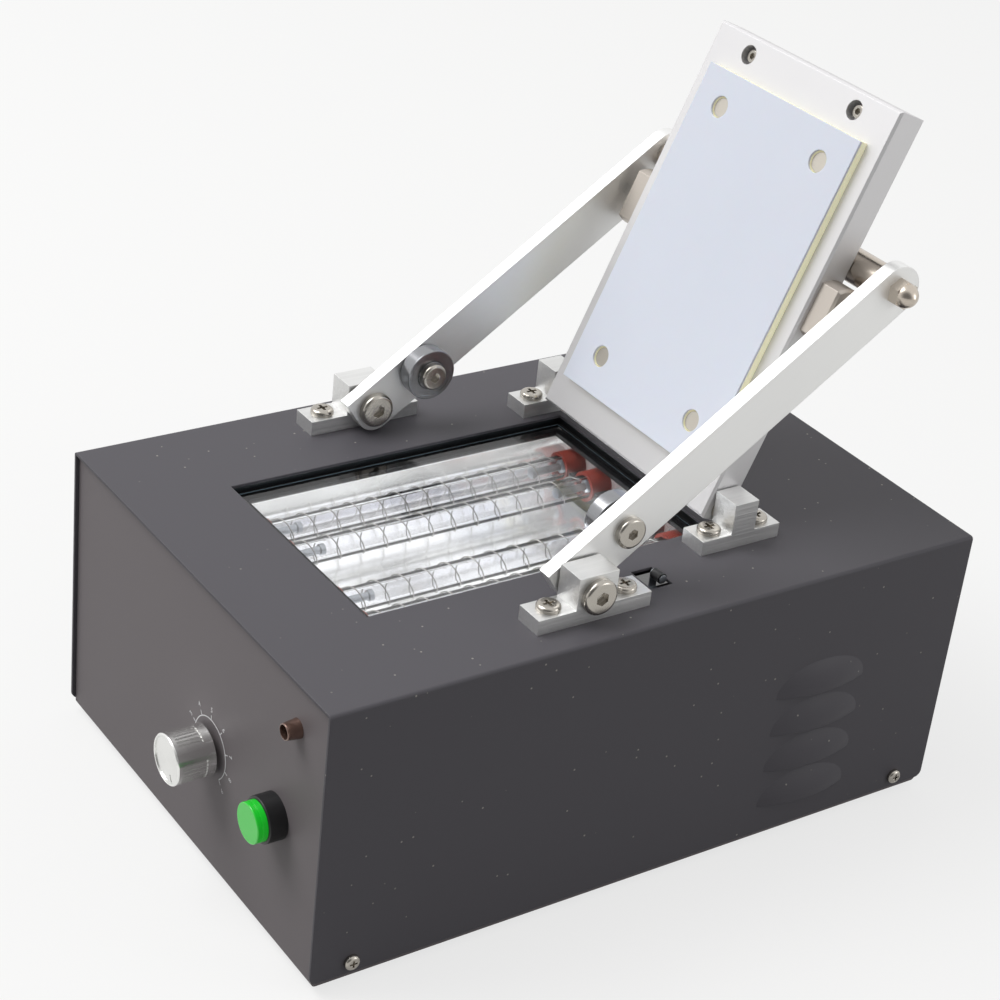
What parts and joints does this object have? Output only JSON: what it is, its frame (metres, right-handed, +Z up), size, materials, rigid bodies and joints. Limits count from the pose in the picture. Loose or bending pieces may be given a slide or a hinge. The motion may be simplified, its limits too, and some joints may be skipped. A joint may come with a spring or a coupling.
{
  "type": "flash stamp machine",
  "caption": "Desktop exposure unit for flash stamps: sheet-metal case, glass window over flash tubes, hinged press plate, lever arms with rollers, dial and push button.",
  "frame": {"origin": "on the floor, under the middle of the machine's box", "axes": "+Z up; the control panel faces -Y; the press plate is hinged towards +Y; +X is to the right of someone facing the panel"},
  "size_m": [0.2122, 0.3236, 0.2928],
  "materials": {
    "case_paint": "fine textured dark grey powder coat",
    "nickel": "bright nickel plate",
    "black_rubber": "matt",
    "black_plastic": "satin",
    "clear_glass": "clear",
    "mirror_aluminium": "bright",
    "anodised": "clear anodised, brushed",
    "bright_steel": "ground",
    "orange_silicone": "matt",
    "turned_aluminium": "turned bright",
    "pad_foam": "open foam",
    "pad_film": "smooth sheet",
    "green_lens": "translucent",
    "bronze_plastic": "smoked",
    "amber_lens": "unlit",
    "board_green": "solder mask",
    "capacitor_sleeve": "shrink sleeve"
  },
  "bodies": {
    "case": {"board_standoffs": "bright_steel", "bracket_screws": "nickel", "button_housing": "black_plastic", "chassis_tray": "case_paint", "cover_screws": "nickel", "flash_tubes": "clear_glass", "foot_screws": "nickel", "front_bracket_left": "anodised", "front_bracket_right": "anodised", "fuse_holder": "black_plastic", "lamp_bezel": "bronze_plastic", "lamp_led": "amber_lens", "main_board": "board_green", "mains_inlet": "black_plastic", "panel_nuts": "nickel", "pivot_bolts": "nickel", "pivot_end_screws": "nickel", "potentiometer": "bright_steel", "power_switch_frame": "black_plastic", "rear_bracket_left": "anodised", "rear_bracket_right": "anodised", "reflector_tray": "mirror_aluminium", "rubber_feet": "black_rubber", "spacer_washers": "nickel", "storage_capacitors": "capacitor_sleeve", "switch_body": "black_plastic", "switch_bracket": "bright_steel", "top_cover": "case_paint", "trigger_transformer": "capacitor_sleeve", "trigger_wires": "nickel", "tube_caps": "orange_silicone", "tube_holders": "black_plastic", "window_frame": "black_plastic", "window_glass": "clear_glass", "window_seal": "black_rubber"},
    "arms": {"lever_arm_left": "anodised", "lever_arm_right": "anodised", "cross_rod": "bright_steel", "acorn_nuts": "nickel", "roller_axles": "nickel", "roller_end_screws": "nickel", "bearing_inner_rings": "bright_steel", "bearing_balls": "bright_steel"},
    "roller_left": {"roller_ring_left": "bright_steel"},
    "roller_right": {"roller_ring_right": "bright_steel"},
    "press": {"press_plate": "anodised", "foam_pad": "pad_foam", "pad_sheet": "pad_film", "pad_discs": "nickel", "press_blocks": "anodised", "plate_screws": "nickel", "lift_grip": "black_plastic", "hinge_pins": "nickel"},
    "dial": {"energy_knob": "turned_aluminium", "knob_shaft": "nickel"},
    "button": {"flash_button": "green_lens"},
    "safety_lever": {"switch_lever": "bright_steel"},
    "safety_roller": {"switch_roller": "black_plastic"},
    "power_rocker": {"power_rocker": "black_plastic"}
  },
  "joints": [
    {"name": "plate_hinge", "type": "hinge", "parent": "case", "child": "press", "pos_m": [0, 0.05925, 0.1341], "axis": [1, 0, 0], "range_deg": [0, 112.86]},
    {"name": "arm_pivot", "type": "hinge", "parent": "case", "child": "arms", "pos_m": [0, -0.02525, 0.1351], "axis": [1, 0, 0], "range_deg": [-28, 0]},
    {"name": "roller_left_spin", "type": "hinge", "parent": "arms", "child": "roller_left", "pos_m": [-0.06625, -0.0035, 0.14988], "axis": [1, 0, 0], "continuous": true},
    {"name": "roller_right_spin", "type": "hinge", "parent": "arms", "child": "roller_right", "pos_m": [0.06625, -0.0035, 0.14988], "axis": [1, 0, 0], "continuous": true},
    {"name": "dial_turn", "type": "hinge", "parent": "case", "child": "dial", "pos_m": [0.017, -0.14575, 0.056], "axis": [0, -1, 0], "range_deg": [0, 280]},
    {"name": "button_press", "type": "slide", "parent": "case", "child": "button", "axis": [0, 1, 0], "range_m": [0, 0.003], "stiffness_N_per_m": 500, "springref_m": -0.002},
    {"name": "safety_press", "type": "hinge", "parent": "case", "child": "safety_lever", "pos_m": [0.0748, -0.00675, 0.1188], "axis": [-1, 0, 0], "range_deg": [0, 7], "stiffness_Nm_per_rad": 0.05, "springref_deg": -8.59},
    {"name": "safety_roller_spin", "type": "hinge", "parent": "safety_lever", "child": "safety_roller", "pos_m": [0.0755, 0.01495, 0.1255], "axis": [1, 0, 0], "continuous": true},
    {"name": "power_tilt", "type": "hinge", "parent": "case", "child": "power_rocker", "pos_m": [-0.015, 0.15255, 0.0415], "axis": [0, 0, -1], "range_deg": [0, 20]}
  ]
}
